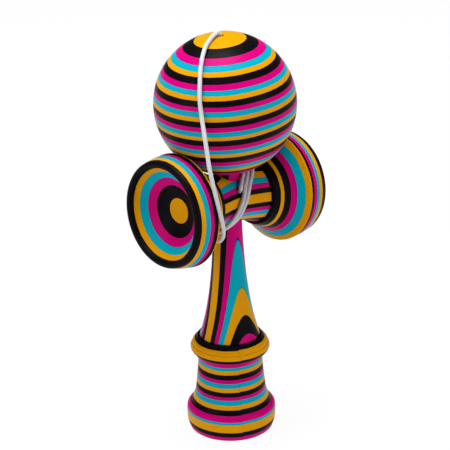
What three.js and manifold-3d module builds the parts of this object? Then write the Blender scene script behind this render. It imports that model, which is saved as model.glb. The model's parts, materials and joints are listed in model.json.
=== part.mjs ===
// Kendama: a ken (stem, spike, crossbar and three cups) and a tama (ball) tied to it by a string.
// Millimetres, +Z up. The origin is on the ken's axis, at the flat rim that the base cup stands on.
// The crossbar runs along X, a little crooked, and the front, with the string hole, faces -Y.
import * as THREE from 'three';
import { mergeVertices } from 'three/addons/utils/BufferGeometryUtils.js';
import Module from 'manifold-3d';

const FIT_GAP = 0.3;           // clearance between pieces that touch or are glued
const ROUND_SIDES = 36;        // facets round each turned piece
const ROUND_SIDES_CUT = 16;    // facets round each drilled hole

// Ball, and the bore that the spike goes into. Its axis leans a little, as it rests on the string.
const BALL_RADIUS = 30;
const BALL_CENTRE_HEIGHT = 148.9;
const BALL_AXIS = new THREE.Vector3(-0.0946, -0.0188, 1).normalize();
const BORE_RADIUS = 8.1;
const BORE_MOUTH_RADIUS = 11;
const BORE_TOP = 20;           // from the ball's centre
const STRING_HOLE_RADIUS = 1.6;

// Bead and knot that hold the string inside the ball, on the ball's axis.
const BEAD_RADIUS = 2.6;
const BEAD_HOLE_RADIUS = 1.3;
const BEAD_HEIGHT = 16.4;
const KNOT_RADIUS = 1.5;
const BEAD_KNOT_HEIGHT = 12.0;

// Stem and spike.
const STEM_FOOT_HEIGHT = 44.2;
const TENON_RADIUS = 6;
const TENON_LENGTH = 13;
const BAR_TOP_HEIGHT = 118.4;
const SPIKE_TIP_HEIGHT = 158.3;

// Crossbar and the two side cups. The bar sits crooked on the neck, lower at the big cup.
const BAR_HEIGHT = 107;
const BAR_TILT = THREE.MathUtils.degToRad(3);
const BAR_WAIST_RADIUS = 10.2;
const BAR_END_RADIUS = 13.2;
const BAR_HALF_LENGTH = 13.5;
const DOWEL_RADIUS = 6;
const DOWEL_LENGTH = 7;
const CUP_LIP = 37.5;           // from the ken's axis to the plane of each cup's lip
const CORD_HOLE_RADIUS = 2;
const CORD_HOLE_RISE = THREE.MathUtils.degToRad(31);
const CORD_HOLE_OFFSET = -0.8;

// Base cup.
const BASE_RIM_OUTER = 17.8;
const BASE_RIM_INNER = 15.2;
const BASE_BOWL_DEPTH = 6;

// String.
const STRING_RADIUS = 0.9;
const STRING_SIDES = 8;

const YELLOW = 0xeab000;
const MAGENTA = 0xc8007a;
const CYAN = 0x00a4c8;
const BLACK = 0x17151b;
const WHITE = 0xdcdce0;

const library = await Module();
library.setup();

const kendama = new THREE.Group();

function addPiece(name, geometry, colour) {
  const material = new THREE.MeshStandardMaterial({ color: colour, roughness: 0.5, metalness: 0 });
  const mesh = new THREE.Mesh(geometry, material);
  mesh.name = name;
  kendama.add(mesh);
  return mesh;
}

function toSolid(geometry) {
  const plain = geometry.clone();
  plain.deleteAttribute('normal');
  plain.deleteAttribute('uv');
  const merged = mergeVertices(plain, 1e-4);
  const vertProperties = new Float32Array(merged.attributes.position.array);
  const triVerts = new Uint32Array(merged.index.array);
  return new library.Manifold(new library.Mesh({ numProp: 3, vertProperties, triVerts }));
}

function toGeometry(solid) {
  const mesh = solid.getMesh();
  const geometry = new THREE.BufferGeometry();
  geometry.setAttribute('position', new THREE.BufferAttribute(mesh.vertProperties, 3));
  geometry.setIndex(new THREE.BufferAttribute(mesh.triVerts, 1));
  return geometry;
}

// A turned solid about +Z. The outline is a list of [height, radius] pairs, up the outside.
function turned(outline, sides = ROUND_SIDES) {
  const points = outline.map(([height, radius]) => new THREE.Vector2(radius, height));
  return new THREE.LatheGeometry(points, sides).rotateX(Math.PI / 2);
}

// Heights and radii on a circular arc about [height, radius], from one angle to another in degrees.
// Angle 0 points outwards and 90 points up.
function arc(centreHeight, centreRadius, size, from, to, steps) {
  return Array.from({ length: steps + 1 }, (_, i) => {
    const angle = THREE.MathUtils.degToRad(from + (to - from) * i / steps);
    return [centreHeight + size * Math.sin(angle), centreRadius + size * Math.cos(angle)];
  });
}

// Points on a smooth curve through a few [height, radius] pairs.
function smooth(outline, steps) {
  const curve = new THREE.SplineCurve(outline.map(([height, radius]) => new THREE.Vector2(height, radius)));
  return curve.getPoints(steps).map((point) => [point.x, point.y]);
}

// The stem flares from the crossbar down to its foot.
function stemRadius(height) {
  return 5.3 + 7.85 * Math.exp(-(height - 44) / 23.7);
}

function stemOutline(from, to, steps, grown = 0) {
  return Array.from({ length: steps + 1 }, (_, i) => {
    const height = from + (to - from) * i / steps;
    return [height, stemRadius(height) + grown];
  });
}

// Puts a shape that is made about the origin, with its axis along X, where the crossbar is.
function onBar(geometry) {
  return geometry.rotateY(BAR_TILT).translate(0, 0, BAR_HEIGHT);
}

function barRadius(distance) {
  const share = Math.abs(distance) / BAR_HALF_LENGTH;
  return BAR_WAIST_RADIUS + (BAR_END_RADIUS - BAR_WAIST_RADIUS) * share ** 1.5;
}

// Stem: a tenon in the base cup, the flared grip, the neck in the crossbar, and the spike.
function makeStem() {
  const tip = [[BAR_TOP_HEIGHT + 2.6, 5.35], [130, 4.8], [141, 4.1], [150, 3.3], [154.5, 2.8]];
  const outline = [
    [STEM_FOOT_HEIGHT - TENON_LENGTH, 0],
    [STEM_FOOT_HEIGHT - TENON_LENGTH, TENON_RADIUS],
    [STEM_FOOT_HEIGHT, TENON_RADIUS],
    ...stemOutline(STEM_FOOT_HEIGHT, BAR_TOP_HEIGHT, 9),
    ...smooth(tip, 4),
    ...arc(SPIKE_TIP_HEIGHT - 2.5, 0, 2.5, 20, 65, 2),
    [SPIKE_TIP_HEIGHT, 0],
  ];
  const pocket = cordHole(CORD_HOLE_RADIUS, 1.9, 9);
  return toGeometry(toSolid(turned(outline)).subtract(toSolid(pocket)));
}

// A drill along the string hole, from one distance from the crossbar's axis to another.
function cordHole(radius, from, to) {
  const drill = new THREE.CylinderGeometry(radius, radius, to - from, ROUND_SIDES_CUT);
  drill.translate(0, (from + to) / 2, 0);
  drill.rotateX(Math.PI - CORD_HOLE_RISE);
  return onBar(drill.translate(CORD_HOLE_OFFSET, 0, 0));
}

// Crossbar: a waisted bar along X with a dowel at each end, bored for the ken and for the string.
function makeCrossbar() {
  const half = Array.from({ length: 6 }, (_, i) => {
    const distance = -BAR_HALF_LENGTH + BAR_HALF_LENGTH * i / 5;
    return [distance, barRadius(distance)];
  });
  const otherHalf = half.slice(0, -1).reverse().map(([distance, radius]) => [-distance, radius]);
  const end = BAR_HALF_LENGTH + DOWEL_LENGTH;
  const outline = [
    [-end, 0],
    [-end, DOWEL_RADIUS],
    [-BAR_HALF_LENGTH, DOWEL_RADIUS],
    ...half,
    ...otherHalf,
    [BAR_HALF_LENGTH, DOWEL_RADIUS],
    [end, DOWEL_RADIUS],
    [end, 0],
  ];
  const bar = onBar(turned(outline).rotateY(Math.PI / 2));
  const socket = [[90, 0], ...stemOutline(90, 126, 6, FIT_GAP), [126, 0]];
  const drill = cordHole(CORD_HOLE_RADIUS, 5, 14);
  return toGeometry(toSolid(bar).subtract(toSolid(turned(socket))).subtract(toSolid(drill)));
}

// A side cup, turned about +Z here, with its collar at the bottom and its bowl opening upwards.
// Heights are distances from the ken's axis.
function sideCup(collarRadius, edgeRadius, lipRadius, bowlRadius, bowlFloor) {
  const foot = BAR_HALF_LENGTH + FIT_GAP;
  const neck = [[foot, collarRadius - 1.5], [16.7, collarRadius]];
  const back = [[20.7, 17.75], [22.9, 19.55], [25.1, 21.95], [26.7, edgeRadius]];
  const wall = [[27.8, edgeRadius - 0.3], [31, edgeRadius - 0.5], [33.5, edgeRadius - 1]];
  const lip = arc(CUP_LIP - 1.6, lipRadius, 1.6, 25, 150, 4);
  const mouthRadius = lip[lip.length - 1][1];
  const mouthAngle = THREE.MathUtils.radToDeg(Math.asin(mouthRadius / bowlRadius));
  const bowl = arc(bowlFloor + bowlRadius, 0, bowlRadius, mouthAngle - 90, -90, 6).slice(1, -1);
  const socketFloor = foot + DOWEL_LENGTH;
  return turned([
    [socketFloor, 0],
    [socketFloor, DOWEL_RADIUS + FIT_GAP],
    [foot, DOWEL_RADIUS + FIT_GAP],
    ...smooth([...neck, ...back], 6),
    ...wall,
    ...lip,
    ...bowl,
    [bowlFloor, 0],
  ]);
}

function makeSmallCup() {
  return onBar(sideCup(15.2, 24.25, 21.15, 26.9, 26.9).rotateY(-Math.PI / 2));
}

function makeBigCup() {
  return onBar(sideCup(15.9, 24.4, 21.4, 27.6, 26.7).rotateY(Math.PI / 2));
}

// Base cup: a shallow bowl underneath, a waisted body, and a beaded collar that the stem stands in.
function makeBaseCup() {
  const bowlRadius = (BASE_RIM_INNER ** 2 + BASE_BOWL_DEPTH ** 2) / (2 * BASE_BOWL_DEPTH);
  const rimAngle = THREE.MathUtils.radToDeg(Math.asin(BASE_RIM_INNER / bowlRadius));
  const bowl = arc(BASE_BOWL_DEPTH - bowlRadius, 0, bowlRadius, 90, 90 - rimAngle, 4);
  const skirt = [[0, BASE_RIM_OUTER], [2.4, 18.9], [4.6, 19.5], [8.6, 19.55]];
  const shoulder = arc(9.6, 16.6, 2.9, 0, 68, 3);
  const waist = [[14.3, 16.7], [18, 15.5], [23, 14.9], [28, 14.4], [32.5, 14.15], [34.4, 14.5]];
  const collar = [[36, 16.1], [37.6, 17.1], [39.2, 17.3], [40.5, 16.7], [42.2, 15.3]];
  const seat = STEM_FOOT_HEIGHT - FIT_GAP;
  const socketFloor = seat - TENON_LENGTH;
  return turned([
    ...bowl,
    ...skirt,
    ...shoulder,
    ...smooth(waist, 6),
    ...smooth(collar, 6),
    [seat, stemRadius(STEM_FOOT_HEIGHT)],
    [seat, TENON_RADIUS + FIT_GAP],
    [socketFloor, TENON_RADIUS + FIT_GAP],
    [socketFloor, 0],
  ]);
}

// Ball: the bore opens downwards, and the string hole goes on through its top.
function makeBall() {
  const mouthAngle = THREE.MathUtils.radToDeg(Math.acos(BORE_MOUTH_RADIUS / BALL_RADIUS));
  const topAngle = THREE.MathUtils.radToDeg(Math.acos((STRING_HOLE_RADIUS + 0.4) / BALL_RADIUS));
  const outside = arc(0, 0, BALL_RADIUS, -mouthAngle, topAngle, 18);
  const mouthHeight = outside[0][0];
  return turned([
    ...outside,
    [BALL_RADIUS - 0.6, STRING_HOLE_RADIUS],
    [BORE_TOP, STRING_HOLE_RADIUS],
    [BORE_TOP - 2, BORE_RADIUS],
    [mouthHeight + BORE_MOUTH_RADIUS - BORE_RADIUS, BORE_RADIUS],
    outside[0],
  ]);
}

function makeBead() {
  const edgeAngle = THREE.MathUtils.radToDeg(Math.acos(BEAD_HOLE_RADIUS / BEAD_RADIUS));
  const outside = arc(BEAD_HEIGHT, 0, BEAD_RADIUS, -edgeAngle, edgeAngle, 6);
  return turned([...outside, outside[0]], 16);
}

function onBallAxis(mesh) {
  mesh.quaternion.setFromUnitVectors(new THREE.Vector3(0, 0, 1), BALL_AXIS);
  mesh.position.set(0, 0, BALL_CENTRE_HEIGHT);
}

// String winding: out of the crossbar's hole, twice round the crossing on a slant, and down to the stem.
const WINDING = [
  [-0.6, -6.2, 110.7], [-0.5, -8.5, 112.1], [-0.8, -9.5, 114.0], [0.1, -8.8, 114.9], [2.6, -6.8, 116.5],
  [5.1, -4.9, 117.7], [7.0, -2.8, 118.7], [7.6, 1.1, 119.1], [5.8, 6.1, 117.2], [2.5, 9.5, 113.5],
  [-1.5, 11.4, 108.7], [-5.6, 11.4, 103.1], [-8.9, 8.6, 97.9], [-11.0, 3.5, 94.6], [-11.5, -1.9, 94.2],
  [-10.1, -7.0, 96.3], [-7.0, -10.8, 101.1], [-3.0, -11.7, 106.7], [0.6, -10.3, 111.8], [2.5, -8.9, 114.3],
  [5.0, -7.2, 116.3], [7.5, -5.1, 118.0], [9.6, -2.7, 119.2], [10.2, 1.8, 119.5], [8.4, 6.7, 117.4],
  [5.0, 10.1, 113.3], [1.0, 11.4, 108.3], [-3.2, 10.9, 103.0], [-6.6, 8.1, 98.0], [-8.8, 3.5, 95.1],
  [-9.5, -1.8, 94.6], [-7.1, -6.6, 96.8], [-3.5, -10.2, 101.3], [-0.4, -11.4, 106.6], [2.8, -10.5, 111.8],
  [4.7, -9.2, 114.4], [7.4, -7.5, 116.6], [10.0, -5.3, 118.4], [12.0, -2.8, 119.7], [12.6, 1.9, 120.1],
  [10.8, 7.1, 117.8], [7.4, 10.5, 113.5], [3.4, 11.6, 108.5], [-0.7, 10.8, 103.3], [-3.4, 8.8, 97.2],
  [-6.2, 5.2, 93.3], [-7.0, 3.0, 91.7], [-7.7, 1.0, 90.7],
];

// String fall: from the stem's left side, out past the small cup's back edge, and up to the ball.
const FALL = [
  [-7.9, 0.6, 90.7], [-9.2, -1.4, 90.8], [-12.3, -5.9, 92.4], [-16.1, -12.3, 95.1], [-19.7, -17.9, 98.9],
  [-22.9, -22.1, 103.1], [-25.9, -25.0, 108.7], [-28.8, -26.1, 116.7], [-30.3, -25.2, 124.6],
  [-30.4, -22.9, 132.6], [-29.3, -20.0, 140.9], [-27.0, -15.1, 152.9],
];

// String over the ball, along its outside from the place where it touches to the hole at its top.
const OVER_BALL_ANGLES = [[8, -61], [19, -63], [30, -64.5], [41, -67], [52, -70], [63, -74], [73, -78]];
const OVER_BALL = OVER_BALL_ANGLES.map(([rise, turn]) => {
  const out = BALL_RADIUS + STRING_RADIUS + FIT_GAP;
  const across = out * Math.cos(THREE.MathUtils.degToRad(rise));
  const angle = THREE.MathUtils.degToRad(turn);
  const height = BALL_CENTRE_HEIGHT + out * Math.sin(THREE.MathUtils.degToRad(rise));
  return [across * Math.sin(angle), -across * Math.cos(angle), height];
});
const ENTRY = [[-4.6, -0.9, 180.0], [-3.0, -0.6, 179.1]];
const AXIS_DISTANCES = [27, 21, BEAD_KNOT_HEIGHT + KNOT_RADIUS + FIT_GAP];
const INSIDE_BALL = AXIS_DISTANCES.map((distance) => {
  const point = BALL_AXIS.clone().multiplyScalar(distance);
  return [point.x, point.y, point.z + BALL_CENTRE_HEIGHT];
});

function cordTube(route, steps) {
  const points = route.map((point) => new THREE.Vector3(...point));
  const path = new THREE.CatmullRomCurve3(points, false, 'centripetal');
  const section = new THREE.Shape();
  section.absarc(0, 0, STRING_RADIUS - 0.05, 0, 2 * Math.PI);
  const curveSegments = STRING_SIDES / 2;
  return new THREE.ExtrudeGeometry(section, { steps, extrudePath: path, curveSegments });
}

addPiece('ken_stem', makeStem(), MAGENTA);
addPiece('base_cup', makeBaseCup(), YELLOW);
addPiece('crossbar', makeCrossbar(), CYAN);
addPiece('small_cup', makeSmallCup(), BLACK);
addPiece('big_cup', makeBigCup(), YELLOW);
onBallAxis(addPiece('tama', makeBall(), MAGENTA));
onBallAxis(addPiece('string_bead', makeBead(), WHITE));
const beadKnot = new THREE.SphereGeometry(KNOT_RADIUS, 8, 6).translate(0, 0, BEAD_KNOT_HEIGHT);
onBallAxis(addPiece('bead_knot', beadKnot, WHITE));
const anchorKnot = new THREE.SphereGeometry(KNOT_RADIUS, 8, 6);
const anchorReach = 5.4;
anchorKnot.translate(
  CORD_HOLE_OFFSET,
  -anchorReach * Math.cos(CORD_HOLE_RISE),
  anchorReach * Math.sin(CORD_HOLE_RISE),
);
addPiece('anchor_knot', onBar(anchorKnot), WHITE);
addPiece('string_winding', cordTube(WINDING, 58), WHITE);
addPiece('string_fall', cordTube(FALL, 16), WHITE);
addPiece('string_over_tama', cordTube([...OVER_BALL, ...ENTRY, ...INSIDE_BALL], 16), WHITE);

export default kendama;
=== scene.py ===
# Kendama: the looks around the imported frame. Blender's units are metres, +Z up, and the front faces -Y.
# Outlines of turned pieces are [height, radius] pairs in millimetres, which lathe() turns into metres.
import json
import math

import bmesh
import bpy
from mathutils import Matrix, Vector


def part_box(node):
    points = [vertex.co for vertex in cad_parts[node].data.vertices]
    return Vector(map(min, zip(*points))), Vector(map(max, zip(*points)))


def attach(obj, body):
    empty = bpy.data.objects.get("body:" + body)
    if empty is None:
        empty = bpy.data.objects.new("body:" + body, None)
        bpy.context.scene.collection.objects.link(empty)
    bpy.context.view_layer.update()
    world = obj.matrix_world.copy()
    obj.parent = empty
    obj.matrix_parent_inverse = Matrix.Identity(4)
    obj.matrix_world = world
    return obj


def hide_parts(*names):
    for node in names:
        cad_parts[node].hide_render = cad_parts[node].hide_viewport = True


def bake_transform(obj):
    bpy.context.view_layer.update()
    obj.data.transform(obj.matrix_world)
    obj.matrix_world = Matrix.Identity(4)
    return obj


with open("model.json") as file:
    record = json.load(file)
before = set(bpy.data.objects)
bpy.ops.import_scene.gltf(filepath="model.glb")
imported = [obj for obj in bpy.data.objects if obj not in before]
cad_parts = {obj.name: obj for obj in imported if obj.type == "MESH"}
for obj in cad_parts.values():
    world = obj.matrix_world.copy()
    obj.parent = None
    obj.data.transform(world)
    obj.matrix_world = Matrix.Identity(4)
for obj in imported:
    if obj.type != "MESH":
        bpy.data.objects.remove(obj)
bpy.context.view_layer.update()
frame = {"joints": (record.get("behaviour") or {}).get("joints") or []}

MM = 0.001
SIDES = 192                 # facets round a turned piece that names no count of its own
BALL_SIDES = 256
BEAD_SIDES = 48
HOLE_SIDES = 64
STRING_SIDES = 24
KNOT_SIDES = 12
FIT = 0.05                  # millimetres left open at each glued seam

# Places that come from the frame, in metres.
SPIN = next(joint for joint in frame["joints"] if joint["name"] == "tama_spin")
BALL_CENTRE = Vector(SPIN["pos_m"])
BALL_AXIS = Vector(SPIN["axis"]).normalized()
BAR_CENTRE = sum(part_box("crossbar"), Vector()) / 2
SPIKE_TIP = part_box("ken_stem")[1].z / MM
BASE_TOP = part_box("base_cup")[1].z / MM

# Driving dimensions, in millimetres.
BALL_RADIUS = 30
BORE_RADIUS = 8.1
BORE_MOUTH_RADIUS = 11
BORE_TOP = 20
STRING_HOLE_RADIUS = 1.6
BAR_TILT = math.radians(3)
BAR_HALF_LENGTH = 13.75     # to the side cups' feet
BAR_WAIST_RADIUS = 10.2
BAR_END_RADIUS = 13.2
CUP_LIP = 37.5              # from the middle of the crossbar
DOWEL_RADIUS = 6
DOWEL_LENGTH = 6.9
TENON_RADIUS = 6
TENON_LENGTH = 12.9
STEM_NECK_RADIUS = 5.3
STEM_FLARE = 7.85           # added to the neck's radius at the flare's foot
STEM_FLARE_FOOT = 44
STEM_FLARE_LENGTH = 23.7
BAR_TOP = 118.4
CORD_HOLE_RADIUS = 2
CORD_HOLE_RISE = math.radians(31)
CORD_HOLE_OFFSET = -0.8
BASE_RIM_OUTER = 17.8
BASE_RIM_INNER = 15.2
BASE_BOWL_DEPTH = 6

# The string, in metres.
STRING_DIAMETER = 0.0018

# The line of the string's hole, from the middle of the crossbar.
HOLE_DIRECTION = Vector((0, -math.cos(CORD_HOLE_RISE), math.sin(CORD_HOLE_RISE)))
HOLE_START = Vector((CORD_HOLE_OFFSET * MM, 0, 0))


# Camera -------------------------------------------------------------------------------------------

CAMERA_PLACE = (-0.4854, -0.5231, 0.3674)
CAMERA_BACK = (-0.6343, -0.6857, 0.3572)     # from what it looks at, back to the camera
CAMERA_ROLL = math.radians(-1.208)
CAMERA_LENS = 142.96
CAMERA_SENSOR = 36


def make_camera():
    data = bpy.data.cameras.new("camera")
    data.lens = CAMERA_LENS
    data.sensor_width = CAMERA_SENSOR
    camera = bpy.data.objects.new("camera", data)
    bpy.context.scene.collection.objects.link(camera)
    back = Vector(CAMERA_BACK).normalized()
    right = Vector((0, 0, 1)).cross(back).normalized()
    up = back.cross(right)
    turned = Matrix((right, up, back)).transposed() @ Matrix.Rotation(CAMERA_ROLL, 3, "Z")
    camera.matrix_world = Matrix.Translation(CAMERA_PLACE) @ turned.to_4x4()
    bpy.context.scene.camera = camera


# Shapes -------------------------------------------------------------------------------------------

def add_object(name, mesh):
    piece = bpy.data.objects.new(name, mesh)
    bpy.context.scene.collection.objects.link(piece)
    return piece


def shade(mesh, angle=35):
    """Smooth shading, apart from edges sharper than an angle in degrees."""
    mesh.shade_smooth()
    mesh.set_sharp_from_angle(angle=math.radians(angle))


def arc(height, radius, size, start, end, steps):
    """[height, radius] pairs on a circular arc. Angle 0 points outwards and 90 points up."""
    angles = [math.radians(start + (end - start) * i / steps) for i in range(steps + 1)]
    return [[height + size * math.sin(a), radius + size * math.cos(a)] for a in angles]


def between(p, q, r, s, t):
    """A Catmull-Rom value a share t of the way from q to r."""
    slope = (r - p) * t
    bend = (2 * p - 5 * q + 4 * r - s) * t ** 2
    twist = (3 * q - p - 3 * r + s) * t ** 3
    return 0.5 * (2 * q + slope + bend + twist)


def smooth(points, per_span=8):
    """A smooth line through a few [height, radius] pairs."""
    ends = [points[0], *points, points[-1]]
    line = []
    for a, b, c, d in zip(ends, ends[1:], ends[2:], ends[3:]):
        for i in range(per_span):
            line.append([between(*values, i / per_span) for values in zip(a, b, c, d)])
    return [*line, list(points[-1])]


def lathe(name, outline, sides=SIDES, place=Matrix.Identity(4)):
    """A closed mesh turned about its own Z axis. Its outline ends on the axis or closes on itself."""
    shape = bmesh.new()
    rings = []
    for height, radius in outline:
        count = sides if radius > 0 else 1
        angles = [2 * math.pi * i / sides for i in range(count)]
        rings.append([
            shape.verts.new((radius * MM * math.cos(a), radius * MM * math.sin(a), height * MM))
            for a in angles
        ])
    pairs = list(zip(rings, rings[1:]))
    if len(rings[0]) > 1 and len(rings[-1]) > 1:
        pairs.append((rings[-1], rings[0]))
    for low, high in pairs:
        for i in range(sides):
            following = (i + 1) % sides
            if len(low) == 1:
                shape.faces.new((low[0], high[following], high[i]))
            elif len(high) == 1:
                shape.faces.new((low[i], low[following], high[0]))
            else:
                shape.faces.new((low[i], low[following], high[following], high[i]))
    bmesh.ops.recalc_face_normals(shape, faces=shape.faces)
    mesh = bpy.data.meshes.new(name)
    shape.to_mesh(mesh)
    shape.free()
    shade(mesh)
    piece = add_object(name, mesh)
    piece.matrix_world = place
    return piece


def cut(piece, tool):
    """Cuts one closed mesh out of another, and removes the tool."""
    modifier = piece.modifiers.new("cut", "BOOLEAN")
    modifier.operation = "DIFFERENCE"
    modifier.solver = "EXACT"
    modifier.object = tool
    evaluated = piece.evaluated_get(bpy.context.evaluated_depsgraph_get())
    mesh = bpy.data.meshes.new_from_object(evaluated)
    piece.modifiers.clear()
    piece.data = mesh
    bpy.data.objects.remove(tool)
    shade(mesh)


def bar_frame():
    """Its X axis is the crossbar's, which sits a little crooked on the neck."""
    return Matrix.Translation(BAR_CENTRE) @ Matrix.Rotation(BAR_TILT, 4, "Y")


def ball_frame():
    """Its Z axis is the ball's own, which leans a little as the ball sits on the spike."""
    turn = Vector((0, 0, 1)).rotation_difference(BALL_AXIS)
    return Matrix.Translation(BALL_CENTRE) @ turn.to_matrix().to_4x4()


# Turned pieces ------------------------------------------------------------------------------------

def stem_radius(height):
    return STEM_NECK_RADIUS + STEM_FLARE * math.exp(-(height - STEM_FLARE_FOOT) / STEM_FLARE_LENGTH)


def stem_line(low, high, steps, grown=0):
    heights = [low + (high - low) * i / steps for i in range(steps + 1)]
    return [[height, stem_radius(height) + grown] for height in heights]


def cord_drill(name, start, mouth, end):
    """A tool along the string's hole, from start to end, that flares from the mouth outwards."""
    flare = 0.5
    outline = [
        [start, 0],
        [start, CORD_HOLE_RADIUS],
        *arc(mouth - flare, CORD_HOLE_RADIUS + flare, flare, 180, 110, 4),
        [end, CORD_HOLE_RADIUS + 3 * flare],
        [end, 0],
    ]
    turn = Vector((0, 0, 1)).rotation_difference(HOLE_DIRECTION).to_matrix().to_4x4()
    place = bar_frame() @ Matrix.Translation(HOLE_START) @ turn
    return lathe(name, outline, HOLE_SIDES, place)


def make_stem():
    foot = BASE_TOP + FIT
    bevel = 0.15
    tenon_round = 0.5
    tip_round = 2.5
    outline = [
        [foot - TENON_LENGTH, 0],
        *arc(foot - TENON_LENGTH + tenon_round, TENON_RADIUS - tenon_round, tenon_round, -90, 0, 4),
        [foot, TENON_RADIUS],
        [foot, stem_radius(foot) - bevel],
        *stem_line(foot + bevel, BAR_TOP, 48),
        *smooth([[BAR_TOP + 2.6, 5.35], [130, 4.8], [141, 4.1], [150, 3.3], [154.5, 2.8]]),
        *arc(SPIKE_TIP - tip_round, 0, tip_round, 20, 88, 10),
        [SPIKE_TIP, 0],
    ]
    stem = lathe("stem", outline)
    cut(stem, cord_drill("stem_pocket", start=1.9, mouth=9, end=9.5))
    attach(stem, "ken")
    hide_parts("ken_stem")
    return stem


def bar_radius(distance):
    share = abs(distance) / BAR_HALF_LENGTH
    return BAR_WAIST_RADIUS + (BAR_END_RADIUS - BAR_WAIST_RADIUS) * share ** 1.5


def make_crossbar():
    steps = 60
    bevel_radius = BAR_END_RADIUS - 0.2
    socket_low = 90
    socket_high = 126
    distances = [BAR_HALF_LENGTH * (2 * i / steps - 1) for i in range(steps + 1)]
    end = BAR_HALF_LENGTH + DOWEL_LENGTH
    edge = BAR_HALF_LENGTH - 0.15
    waist = [[x, bar_radius(x)] for x in distances if abs(x) < edge]
    outline = [
        [-end, 0],
        [-end, DOWEL_RADIUS],
        [-BAR_HALF_LENGTH, DOWEL_RADIUS],
        [-BAR_HALF_LENGTH, bevel_radius],
        *waist,
        [BAR_HALF_LENGTH, bevel_radius],
        [BAR_HALF_LENGTH, DOWEL_RADIUS],
        [end, DOWEL_RADIUS],
        [end, 0],
    ]
    along_x = Matrix.Rotation(math.radians(90), 4, "Y")
    bar = lathe("bar", outline, place=bar_frame() @ along_x)
    socket = [[socket_low, 0], *stem_line(socket_low, socket_high, 36, FIT), [socket_high, 0]]
    cut(bar, lathe("bar_socket", socket))
    cut(bar, cord_drill("bar_drill", start=4.5, mouth=10.4, end=14))
    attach(bar, "ken")
    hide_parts("crossbar")
    return bar


def turning_marks(outline):
    """The outline of a bowl, with the shallow rings that turning leaves round its middle."""
    depth = 0.035
    closeness = 4.2
    reach = 5.5
    return [
        [height - depth * math.sin(radius * closeness) * max(0, 1 - radius / reach), radius]
        for height, radius in outline
    ]


def make_side_cup(name, node, side, collar, edge, lip_radius, bowl_radius, bowl_floor):
    """A side cup that opens away from the stem. side is -1 on the left and 1 on the right.
    collar is its radius by the crossbar, and edge its largest one."""
    foot = BAR_HALF_LENGTH + FIT
    foot_round = 0.3
    corner_round = 1.2
    lip_round = 1.6
    back = [[foot + 0.5, collar - 1.1], [16.7, collar], [20.7, 17.75], [22.9, 19.55], [25.1, 21.95]]
    corner = arc(27.36, edge - corner_round, corner_round, -56, 12, 10)
    wall = [[27.9, edge - 0.3], [29.3, edge - 0.3], [31.5, edge - 0.5], [33.9, edge - 1]]
    lip = arc(CUP_LIP - lip_round, lip_radius, lip_round, 20, 150, 20)
    mouth_angle = math.degrees(math.asin(lip[-1][1] / bowl_radius))
    bowl = arc(bowl_floor + bowl_radius, 0, bowl_radius, mouth_angle - 90, -90, 48)[1:-1]
    socket_floor = foot + DOWEL_LENGTH + FIT
    outline = [
        [socket_floor, 0],
        [socket_floor, DOWEL_RADIUS + FIT],
        [foot, DOWEL_RADIUS + FIT],
        *arc(foot + foot_round, collar - 1.6, foot_round, -90, -20, 5),
        *smooth(back),
        *corner,
        *smooth(wall),
        *lip,
        *turning_marks(bowl),
        [bowl_floor, 0],
    ]
    outwards = Matrix.Rotation(math.radians(90 * side), 4, "Y")
    cup = lathe(name, outline, place=bar_frame() @ outwards)
    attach(cup, "ken")
    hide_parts(node)
    return cup


def make_base_cup():
    inner_round = 0.35
    outer_round = 0.5
    collar_step = 0.9
    bowl_radius = (BASE_RIM_INNER ** 2 + BASE_BOWL_DEPTH ** 2) / (2 * BASE_BOWL_DEPTH)
    rim_angle = math.degrees(math.asin(BASE_RIM_INNER / bowl_radius))
    bowl = arc(BASE_BOWL_DEPTH - bowl_radius, 0, bowl_radius, 90, 90 - rim_angle, 32)[1:-1]
    skirt = [[0.6, 18.25], [2.4, 18.9], [4.6, 19.4], [7.0, 19.55], [9.6, 19.5]]
    waist = [
        [12.7, 17.45], [14.5, 16.6], [18, 15.5], [23, 14.9], [28, 14.4], [32.5, 14.15],
        [34.4, 14.5], [36, 15.9], [37.4, 17.0], [38.7, 17.35], [39.8, 17.0],
    ]
    groove = arc(40.3, 16.75, 0.3, -60, -180, 6)
    bead = [[40.5, 16.5], [41.1, 16.45], [41.8, 15.95], [42.4, 15.2]]
    socket_floor = BASE_TOP - TENON_LENGTH - FIT
    outline = [
        [BASE_BOWL_DEPTH, 0],
        *bowl,
        *arc(inner_round, BASE_RIM_INNER + inner_round, inner_round, 200, 270, 5),
        *arc(outer_round, BASE_RIM_OUTER - outer_round, outer_round, -90, -25, 6),
        *smooth(skirt),
        *arc(9.6, 16.6, 2.9, 5, 66, 14),
        *smooth(waist),
        *groove,
        *smooth(bead),
        [BASE_TOP, stem_radius(BASE_TOP) + collar_step],
        [BASE_TOP, TENON_RADIUS + FIT],
        [socket_floor, TENON_RADIUS + FIT],
        [socket_floor, 0],
    ]
    cup = lathe("base", outline)
    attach(cup, "ken")
    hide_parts("base_cup")
    return cup


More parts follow.
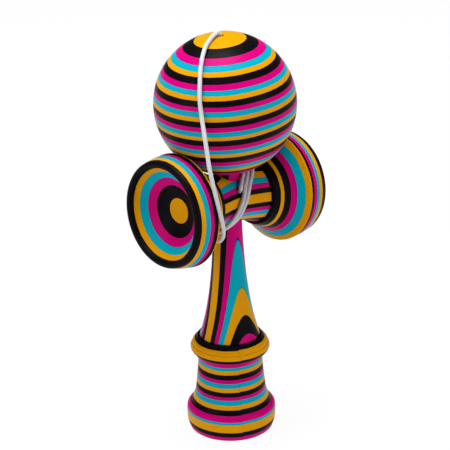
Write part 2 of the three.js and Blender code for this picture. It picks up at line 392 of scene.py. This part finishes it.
def make_ball():
    mouth_angle = math.degrees(math.acos(BORE_MOUTH_RADIUS / BALL_RADIUS))
    hole_round = 0.5
    hole_edge = STRING_HOLE_RADIUS + hole_round
    mouth_bevel = 0.3
    bore_cone = 2
    top_angle = math.degrees(math.acos(hole_edge / BALL_RADIUS))
    outside = arc(0, 0, BALL_RADIUS, -mouth_angle, top_angle, 140)
    mouth_height, mouth_radius = outside[0]
    top_height = outside[-1][0]
    outline = [
        [mouth_height, mouth_radius - mouth_bevel],
        *outside,
        *arc(top_height - hole_round, hole_edge, hole_round, 100, 180, 5),
        [BORE_TOP, STRING_HOLE_RADIUS],
        [BORE_TOP - bore_cone, BORE_RADIUS],
        [mouth_height + BORE_MOUTH_RADIUS - BORE_RADIUS, BORE_RADIUS],
    ]
    ball = lathe("ball", outline, BALL_SIDES, ball_frame())
    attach(ball, "tama")
    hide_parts("tama")
    return ball


def make_bead():
    radius = 2.6
    hole = 1.3
    height = 16.4
    edge = math.degrees(math.acos(hole / radius))
    outline = arc(height, 0, radius, -edge, edge, 24)
    bead = lathe("bead", outline, BEAD_SIDES, ball_frame())
    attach(bead, "string_end")
    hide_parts("string_bead")
    return bead


# String -------------------------------------------------------------------------------------------

# In metres: from the knot in the crossbar out of its hole, twice round the crossing on a slant, and down
# to the stem.
WINDING = [
    (-0.0007, -0.0046, 0.1097), (-0.0006, -0.0062, 0.1107), (-0.0005, -0.0085, 0.1121),
    (-0.0008, -0.0095, 0.1140), (0.0001, -0.0088, 0.1149), (0.0026, -0.0068, 0.1165),
    (0.0051, -0.0049, 0.1177), (0.0070, -0.0028, 0.1187), (0.0076, 0.0011, 0.1191),
    (0.0058, 0.0061, 0.1172), (0.0025, 0.0095, 0.1135), (-0.0015, 0.0114, 0.1087),
    (-0.0056, 0.0114, 0.1031), (-0.0089, 0.0086, 0.0979), (-0.0110, 0.0035, 0.0946),
    (-0.0115, -0.0019, 0.0942), (-0.0101, -0.0070, 0.0963), (-0.0070, -0.0108, 0.1011),
    (-0.0030, -0.0117, 0.1067), (0.0006, -0.0103, 0.1118), (0.0025, -0.0089, 0.1143),
    (0.0050, -0.0072, 0.1163), (0.0075, -0.0051, 0.1180), (0.0096, -0.0027, 0.1192),
    (0.0102, 0.0018, 0.1195), (0.0084, 0.0067, 0.1174), (0.0050, 0.0101, 0.1133),
    (0.0010, 0.0114, 0.1083), (-0.0032, 0.0109, 0.1030), (-0.0066, 0.0081, 0.0980),
    (-0.0088, 0.0035, 0.0951), (-0.0095, -0.0018, 0.0946), (-0.0071, -0.0066, 0.0968),
    (-0.0035, -0.0102, 0.1013), (-0.0004, -0.0114, 0.1066), (0.0028, -0.0105, 0.1118),
    (0.0047, -0.0092, 0.1144), (0.0074, -0.0075, 0.1166), (0.0100, -0.0053, 0.1184),
    (0.0120, -0.0028, 0.1197), (0.0126, 0.0019, 0.1201), (0.0108, 0.0071, 0.1178),
    (0.0074, 0.0105, 0.1135), (0.0034, 0.0116, 0.1085), (-0.0007, 0.0108, 0.1033),
    (-0.0034, 0.0088, 0.0972), (-0.0062, 0.0052, 0.0933), (-0.0078, 0.0008, 0.0907),
]
# From the stem's left side, out past the small cup's back edge, and up to the ball.
FALL = [
    (-0.0092, -0.0014, 0.0908), (-0.0123, -0.0059, 0.0924), (-0.0161, -0.0123, 0.0951),
    (-0.0197, -0.0179, 0.0989), (-0.0229, -0.0221, 0.1031), (-0.0259, -0.0250, 0.1087),
    (-0.0288, -0.0261, 0.1167), (-0.0303, -0.0252, 0.1246), (-0.0304, -0.0229, 0.1326),
    (-0.0293, -0.0200, 0.1409),
]
# Up the ball's outside, as degrees of rise and of turn from the front.
OVER_BALL = [(8, -61), (19, -63), (30, -64.5), (41, -67), (52, -70), (63, -74), (73, -78)]
OVER_BALL_LIFT = 0.0012
# Over the edge of the hole in the ball's top.
ENTRY = [(-0.0046, -0.0009, 0.1800), (-0.0030, -0.0006, 0.1791)]
# Down the ball's axis to the knot, as distances from the ball's centre.
AXIS_DISTANCES = [0.027, 0.021, 0.012]
ANCHOR_DEPTH = 0.0054       # where the other knot sits along the crossbar's hole


def string_route():
    out = BALL_RADIUS * MM + OVER_BALL_LIFT
    over = []
    for rise_degrees, turn_degrees in OVER_BALL:
        rise = math.radians(rise_degrees)
        turn = math.radians(turn_degrees)
        level = math.cos(rise)
        step = Vector((level * math.sin(turn), -level * math.cos(turn), math.sin(rise)))
        over.append(BALL_CENTRE + out * step)
    inside = [BALL_CENTRE + BALL_AXIS * distance for distance in AXIS_DISTANCES]
    return [Vector(p) for p in [*WINDING, *FALL]] + over + [Vector(p) for p in ENTRY] + inside


def curve_through(points, spacing):
    """A centripetal curve through all the points, with a point about every spacing."""
    ends = [2 * points[0] - points[1], *points, 2 * points[-1] - points[-2]]
    line = []
    for a, b, c, d in zip(ends, ends[1:], ends[2:], ends[3:]):
        t1 = math.sqrt((b - a).length)
        t2 = t1 + math.sqrt((c - b).length)
        t3 = t2 + math.sqrt((d - c).length)
        steps = max(2, round((c - b).length / spacing))
        for i in range(steps):
            t = t1 + (t2 - t1) * i / steps
            ab = a.lerp(b, t / t1)
            bc = b.lerp(c, (t - t1) / (t2 - t1))
            cd = c.lerp(d, (t - t2) / (t3 - t2))
            abc = ab.lerp(bc, t / t2)
            bcd = bc.lerp(cd, (t - t1) / (t3 - t1))
            line.append(abc.lerp(bcd, (t - t1) / (t2 - t1)))
    return [*line, points[-1]]


def tube(name, line, radius_at, sides, closed=False):
    """A tube along a line of points. radius_at gives the radius at a distance along the line and an
    angle round it."""
    shape = bmesh.new()
    count = len(line)
    normal = (line[1] - line[0]).orthogonal().normalized()
    travelled = 0
    rings = []
    for i, point in enumerate(line):
        following = line[(i + 1) % count] if closed else line[min(i + 1, count - 1)]
        before = line[i - 1] if closed or i else point
        tangent = (following - before).normalized()
        normal = (normal - tangent * normal.dot(tangent)).normalized()
        across = tangent.cross(normal)
        if i:
            travelled += (point - line[i - 1]).length
        ring = []
        for j in range(sides):
            angle = 2 * math.pi * j / sides
            outwards = normal * math.cos(angle) + across * math.sin(angle)
            ring.append(shape.verts.new(point + outwards * radius_at(travelled, angle)))
        rings.append(ring)
    pairs = list(zip(rings, rings[1:]))
    if closed:
        pairs.append((rings[-1], rings[0]))
    else:
        shape.faces.new(reversed(rings[0]))
        shape.faces.new(rings[-1])
    for low, high in pairs:
        for j in range(sides):
            following = (j + 1) % sides
            shape.faces.new((low[j], low[following], high[following], high[j]))
    bmesh.ops.recalc_face_normals(shape, faces=shape.faces)
    mesh = bpy.data.meshes.new(name)
    shape.to_mesh(mesh)
    shape.free()
    shade(mesh, 80)
    return add_object(name, mesh)


def braid_radius(travelled, angle):
    """The string's surface: strands that cross each other round a round core."""
    pitch = 0.0022
    strands = 4
    core = 0.965
    strand_height = 0.05
    turn = 2 * math.pi * travelled / pitch
    relief = math.cos(strands * angle + turn) * math.cos(strands * angle - turn)
    return STRING_DIAMETER / 2 * (core + strand_height * relief)


def make_knot(name, node, body, place):
    """A small tight knot: a closed trefoil of a thinner tube than the string."""
    size = 0.00034
    strand_radius = 0.00046
    steps = 72
    angles = [2 * math.pi * i / steps for i in range(steps)]
    line = [
        place @ (size * Vector((
            math.sin(a) + 2 * math.sin(2 * a),
            math.cos(a) - 2 * math.cos(2 * a),
            -1.2 * math.sin(3 * a),
        )))
        for a in angles
    ]
    knot = tube(name, line, lambda travelled, angle: strand_radius, KNOT_SIDES, closed=True)
    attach(knot, body)
    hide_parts(node)
    return knot


def make_string():
    line = curve_through(string_route(), spacing=0.0003)
    string = tube("string", line, braid_radius, STRING_SIDES)
    anchor_place = bar_frame() @ Matrix.Translation(HOLE_START + HOLE_DIRECTION * ANCHOR_DEPTH)
    anchor = make_knot("knot_in_bar", "anchor_knot", "ken", anchor_place)
    end_place = ball_frame() @ Matrix.Translation((0, 0, AXIS_DISTANCES[-1]))
    end = make_knot("knot_in_ball", "bead_knot", "string_end", end_place)
    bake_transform(string)
    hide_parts("string_winding", "string_fall", "string_over_tama")
    return string, anchor, end


# Layers of veneer ---------------------------------------------------------------------------------

ORDER = ["yellow", "black", "magenta", "cyan"]


def layers(first, widths):
    """Layers as colour and width in millimetres, in the order that most of the toy repeats."""
    start = ORDER.index(first)
    return [(ORDER[(start + i) % len(ORDER)], width) for i, width in enumerate(widths)]


# Widths, in millimetres.
VENEER = 2.0
GLUE_LINE = 0.07                    # two dyes meet in a thin dark line
STEM_STACK = layers("yellow", [1.93, 2.15, 1.87, 1.93, 2.06, 2, 2, 2])
STEM_ACROSS = (0.0436, 1, 0.0084)   # the stem stands a little askew to its layers
STEM_MIDDLE = 0.3                   # the first layer's middle, behind the stem's axis
BAR_STACK = layers("yellow", [VENEER] * 7)
BAR_ACROSS = (1, 0, 0)
BAR_MIDDLE = -0.8                   # the first layer's middle, above the crossbar's axis
UP = (0, 0, 1)
# From the bottom up.
BASE_STACK = [
    ("magenta", 2.4), ("black", 2.2), ("yellow", 3.9), ("cyan", 1.15),
    ("magenta", 2.5), ("black", 2.15), ("yellow", 1.9), ("cyan", 2.0),
    ("magenta", 1.7), ("black", 2.1), ("yellow", 1.9), ("cyan", 1.95),
    ("magenta", 1.75), ("black", 2.35), ("yellow", 1.85), ("cyan", 1.7),
    ("magenta", 2.65), ("black", 1.85), ("yellow", 4.2), ("black", 2.5),
]
BASE_SEAM = math.radians(-28.3)     # the way that the plane of the base cup's seam faces
# From the crossbar outwards to the lip, for each side cup.
SIDE_CUP_START = 13
CUP_BACK = [("black", 3.5), ("yellow", 1.5), ("black", 2.65), ("magenta", 2.15), ("cyan", 2.4)]
SMALL_CUP_STACK = [*CUP_BACK, ("yellow", 2.2), *layers("black", [1.9, 1.95, 2.15, 1.95, 3])]
BIG_CUP_STACK = [*CUP_BACK, ("yellow", 1.8), *layers("black", [1.5, 2.0, 1.7, 2.2, 4])]
# The ball's layers come in sets of four, which thicken a little towards its bottom.
BALL_SETS = [8.0, 8.1, 8.1, 8.4, 8.65, 9.0]
BALL_SHARES = [0.285, 0.25, 0.245, 0.22]    # black, magenta, cyan, yellow
BALL_CAP_EDGE = 27.7
BALL_LAST_BLACK = 1.5


def ball_stack():
    """Listed from the top down, and turned round at the end so that it runs from the bottom up."""
    widths = [share * height for height in BALL_SETS for share in BALL_SHARES]
    downwards = [("yellow", BALL_RADIUS - BALL_CAP_EDGE), *layers("black", widths)]
    total = sum(width for _, width in downwards)
    last_magenta = 2 * BALL_RADIUS - total - BALL_LAST_BLACK
    downwards += [("black", BALL_LAST_BLACK), ("magenta", last_magenta)]
    return downwards[::-1]


# Materials ----------------------------------------------------------------------------------------

def linear(red, green, blue):
    def one(value):
        share = value / 255
        return share / 12.92 if share <= 0.04045 else ((share + 0.055) / 1.055) ** 2.4
    return (one(red), one(green), one(blue), 1)


COLOURS = {
    "yellow": linear(211, 144, 0),
    "black": linear(10, 8, 11),
    "magenta": linear(191, 0, 110),
    "cyan": linear(0, 156, 179),
}
STRING_COLOUR = linear(193, 196, 200)
BEAD_COLOUR = linear(228, 226, 220)
FLOOR_COLOUR = (0.06, 0.06, 0.06, 1)
FLOOR_GLOW = 0.93


class Shader:
    """A material's node tree, with a short way to add and link nodes."""

    def __init__(self, name):
        self.material = bpy.data.materials.new(name)
        self.material.use_nodes = True
        self.tree = self.material.node_tree
        self.surface = self.tree.nodes["Principled BSDF"]

    def node(self, kind, inputs=(), **settings):
        node = self.tree.nodes.new("ShaderNode" + kind)
        for name, value in settings.items():
            setattr(node, name, value)
        for name, value in dict(inputs).items():
            self.set(node.inputs[name], value)
        return node

    def set(self, socket, value):
        if isinstance(value, bpy.types.NodeSocket):
            self.tree.links.new(value, socket)
        else:
            socket.default_value = value

    def math(self, operation, first, second=0.0, third=0.0):
        return self.node("Math", {0: first, 1: second, 2: third}, operation=operation).outputs[0]

    def range(self, value, low, high, to_low, to_high):
        inputs = {"Value": value, "From Min": low, "From Max": high, "To Min": to_low, "To Max": to_high}
        return self.node("MapRange", inputs).outputs[0]

    def spread(self, noise, to_low, to_high):
        """Maps 0.3 to 0.7, where most of a noise lies."""
        return self.range(noise, 0.3, 0.7, to_low, to_high)

    def noise(self, vector, scale, detail):
        inputs = {"Vector": vector, "Scale": scale, "Detail": detail}
        return self.node("TexNoise", inputs).outputs["Fac"]

    def stretched(self, vector, scale):
        return self.node("Mapping", {"Vector": vector, "Scale": scale}).outputs[0]


FIBRE_SCALES = {"X": (60, 1400, 1400), "Z": (1400, 1400, 60)}    # long along the grain


def add_seam(shader, parts, height, angle):
    """A butt joint in the veneers, on an upright plane through the axis: one side sits a little higher."""
    step_height = 0.22 * MM
    half_width = 0.06 * MM
    across_x = shader.math("MULTIPLY", parts.outputs["X"], math.cos(angle))
    across_y = shader.math("MULTIPLY", parts.outputs["Y"], math.sin(angle))
    across = shader.math("ADD", across_x, across_y)
    step = shader.math("MULTIPLY", shader.math("GREATER_THAN", across, 0.0), step_height)
    line = shader.math("LESS_THAN", shader.math("ABSOLUTE", across), half_width)
    return shader.math("SUBTRACT", height, step), line


def layer_colours(shader, height, stack, start):
    """The dye at a height. Two copies, a glue line apart, are mixed to the darker of the two, which draws
    the line between layers."""
    total = sum(width for _, width in stack)
    copies = []
    for shift in (-GLUE_LINE / 2, GLUE_LINE / 2):
        share = shader.range(height, (start + shift) * MM, (start + shift + total) * MM, 0, 1)
        ramp = shader.node("ValToRGB", {"Fac": share})
        ramp.color_ramp.interpolation = "CONSTANT"
        stops = ramp.color_ramp.elements
        stops[0].color = COLOURS[stack[0][0]]
        stops.remove(stops[1])
        reached = 0
        for (_, width), (colour, _) in zip(stack, stack[1:]):
            reached += width
            stops.new(reached / total).color = COLOURS[colour]
        copies.append(ramp.outputs["Color"])
    inputs = {"Fac": 1.0, "Color1": copies[0], "Color2": copies[1]}
    return shader.node("MixRGB", inputs, blend_type="DARKEN").outputs["Color"]


def layered_wood(name, across, stack, grain, start=0.0, middle=None, seam=None):
    """Dyed veneers glued in flat layers across a direction of the piece, turned and lacquered. The layers
    start at a distance in millimetres, or run both ways from the middle of the first one."""
    shader = Shader(name)
    place = shader.node("TexCoord").outputs["Object"]
    parts = shader.node("SeparateXYZ", {"Vector": place})
    height = shader.node("VectorMath", {0: place, 1: across}, operation="DOT_PRODUCT").outputs["Value"]
    if middle is not None:
        height = shader.math("ABSOLUTE", shader.math("SUBTRACT", height, middle * MM))
    waver = shader.spread(shader.noise(place, 45, 1), -0.09 * MM, 0.09 * MM)
    height = shader.math("ADD", height, waver)
    if seam:
        height, seam_line = add_seam(shader, parts, height, seam)
    dyes = layer_colours(shader, height, stack, start)

    fibre_scale = FIBRE_SCALES[grain]
    pore_scale = [3.0 * scale for scale in fibre_scale]
    fibres = shader.noise(shader.stretched(place, fibre_scale), 1, 4)
    mottle = shader.noise(place, 130, 3)
    pores = shader.range(shader.noise(shader.stretched(place, pore_scale), 1, 1), 0.66, 0.74, 0, 1)
    fibre_value = shader.spread(fibres, 0.96, 1.03)
    mottle_value = shader.spread(mottle, -0.02, 0.02)
    value = shader.math("ADD", fibre_value, mottle_value)
    value = shader.math("SUBTRACT", value, shader.math("MULTIPLY", pores, 0.06))
    if seam:
        value = shader.math("SUBTRACT", value, shader.math("MULTIPLY", seam_line, 0.35))
    tinted = shader.node("HueSaturation", {"Value": value, "Color": dyes})
    shader.set(shader.surface.inputs["Base Color"], tinted.outputs["Color"])

    scuffs = shader.noise(place, 420, 5)
    shader.set(shader.surface.inputs["Roughness"], shader.spread(scuffs, 0.33, 0.45))
    relief = shader.math("ADD", fibres, shader.math("MULTIPLY", scuffs, 0.6))
    bump = shader.node("Bump", {"Height": relief, "Strength": 0.18, "Distance": 0.00006})
    shader.set(shader.surface.inputs["Normal"], bump.outputs["Normal"])
    shader.surface.inputs["IOR"].default_value = 1.11      # low, so that gloss hardly greys the dyes
    return shader.material


def string_material():
    shader = Shader("string_fibre")
    place = shader.node("TexCoord").outputs["Object"]
    fuzz = shader.noise(place, 2600, 4)
    soil = shader.noise(place, 60, 2)
    value = shader.math("ADD", shader.spread(fuzz, 0.90, 1.04), shader.spread(soil, -0.03, 0.02))
    tinted = shader.node("HueSaturation", {"Value": value, "Color": STRING_COLOUR})
    shader.set(shader.surface.inputs["Base Color"], tinted.outputs["Color"])
    shader.set(shader.surface.inputs["Roughness"], shader.spread(fuzz, 0.65, 0.85))
    bump = shader.node("Bump", {"Height": fuzz, "Strength": 0.3, "Distance": 0.00008})
    shader.set(shader.surface.inputs["Normal"], bump.outputs["Normal"])
    shader.surface.inputs["Sheen Weight"].default_value = 0.25
    shader.surface.inputs["Sheen Roughness"].default_value = 0.5
    return shader.material


def bead_material():
    shader = Shader("bead_plastic")
    place = shader.node("TexCoord").outputs["Object"]
    clouds = shader.noise(place, 500, 3)
    value = shader.spread(clouds, 0.94, 1.03)
    tinted = shader.node("HueSaturation", {"Value": value, "Color": BEAD_COLOUR})
    shader.set(shader.surface.inputs["Base Color"], tinted.outputs["Color"])
    shader.set(shader.surface.inputs["Roughness"], shader.spread(clouds, 0.3, 0.42))
    return shader.material


def finish_piece(piece, material):
    piece.data.materials.clear()
    piece.data.materials.append(material)


# Stage --------------------------------------------------------------------------------------------

def make_floor():
    """A pale floor that glows evenly, so that it stays pale under soft lights."""
    shape = bmesh.new()
    bmesh.ops.create_grid(shape, x_segments=1, y_segments=1, size=6)
    mesh = bpy.data.meshes.new("floor")
    shape.to_mesh(mesh)
    shape.free()
    floor = add_object("floor", mesh)
    shader = Shader("floor_paint")
    place = shader.node("TexCoord").outputs["Object"]
    clouds = shader.noise(place, 3, 2)
    value = shader.spread(clouds, 0.99, 1.01)
    tinted = shader.node("HueSaturation", {"Value": value, "Color": FLOOR_COLOUR})
    shader.set(shader.surface.inputs["Base Color"], tinted.outputs["Color"])
    shader.surface.inputs["Roughness"].default_value = 0.9
    shader.surface.inputs["Specular IOR Level"].default_value = 0.1
    shader.surface.inputs["Emission Color"].default_value = (1, 1, 1, 1)
    shader.surface.inputs["Emission Strength"].default_value = FLOOR_GLOW
    mesh.materials.append(shader.material)


LIGHT_SIZE = 0.8
LIGHT_TARGET = Vector((0, 0, 0.1))


def make_light(name, place, energy):
    """A square soft light that faces the object."""
    data = bpy.data.lights.new(name, "AREA")
    data.shape = "SQUARE"
    data.size = LIGHT_SIZE
    data.energy = energy
    light = bpy.data.objects.new(name, data)
    light.location = place
    light.rotation_euler = (LIGHT_TARGET - Vector(place)).to_track_quat("-Z", "Y").to_euler()
    bpy.context.scene.collection.objects.link(light)


def make_lights():
    make_light("light_top", (-0.05, 0.05, 1.35), energy=25)
    make_light("light_left", (-1.2, 0.2, 0.5), energy=6.5)
    make_light("light_right", (0.3, -1.2, 0.45), energy=5.5)
    world = bpy.data.worlds.new("studio")
    world.use_nodes = True
    world.node_tree.nodes["Background"].inputs["Color"].default_value = (1, 1, 1, 1)
    world.node_tree.nodes["Background"].inputs["Strength"].default_value = 0.12
    bpy.context.scene.world = world
    bpy.context.scene.view_settings.view_transform = "Standard"


# The whole object ---------------------------------------------------------------------------------

make_camera()
bead = make_bead()
string, anchor_knot, end_knot = make_string()
stem = make_stem()
bar = make_crossbar()
small_cup = make_side_cup(
    "left_cup", "small_cup", side=-1,
    collar=15.2, edge=24.25, lip_radius=21.15, bowl_radius=26.9, bowl_floor=26.9,
)
big_cup = make_side_cup(
    "right_cup", "big_cup", side=1,
    collar=15.9, edge=24.4, lip_radius=21.4, bowl_radius=27.6, bowl_floor=26.7,
)
base = make_base_cup()
ball = make_ball()

white_string = string_material()
for piece in (string, anchor_knot, end_knot):
    finish_piece(piece, white_string)
finish_piece(bead, bead_material())
stem_veneers = layered_wood("stem_veneers", STEM_ACROSS, STEM_STACK, grain="Z", middle=STEM_MIDDLE)
finish_piece(stem, stem_veneers)
bar_veneers = layered_wood("bar_veneers", BAR_ACROSS, BAR_STACK, grain="Z", middle=BAR_MIDDLE)
finish_piece(bar, bar_veneers)
ball_veneers = layered_wood("ball_veneers", UP, ball_stack(), grain="X", start=-BALL_RADIUS)
finish_piece(ball, ball_veneers)
base_veneers = layered_wood("base_veneers", UP, BASE_STACK, grain="X", seam=BASE_SEAM)
finish_piece(base, base_veneers)
for cup, stack in ((small_cup, SMALL_CUP_STACK), (big_cup, BIG_CUP_STACK)):
    cup_veneers = layered_wood(cup.name + "_veneers", UP, stack, grain="X", start=SIDE_CUP_START)
    finish_piece(cup, cup_veneers)

make_floor()
make_lights()
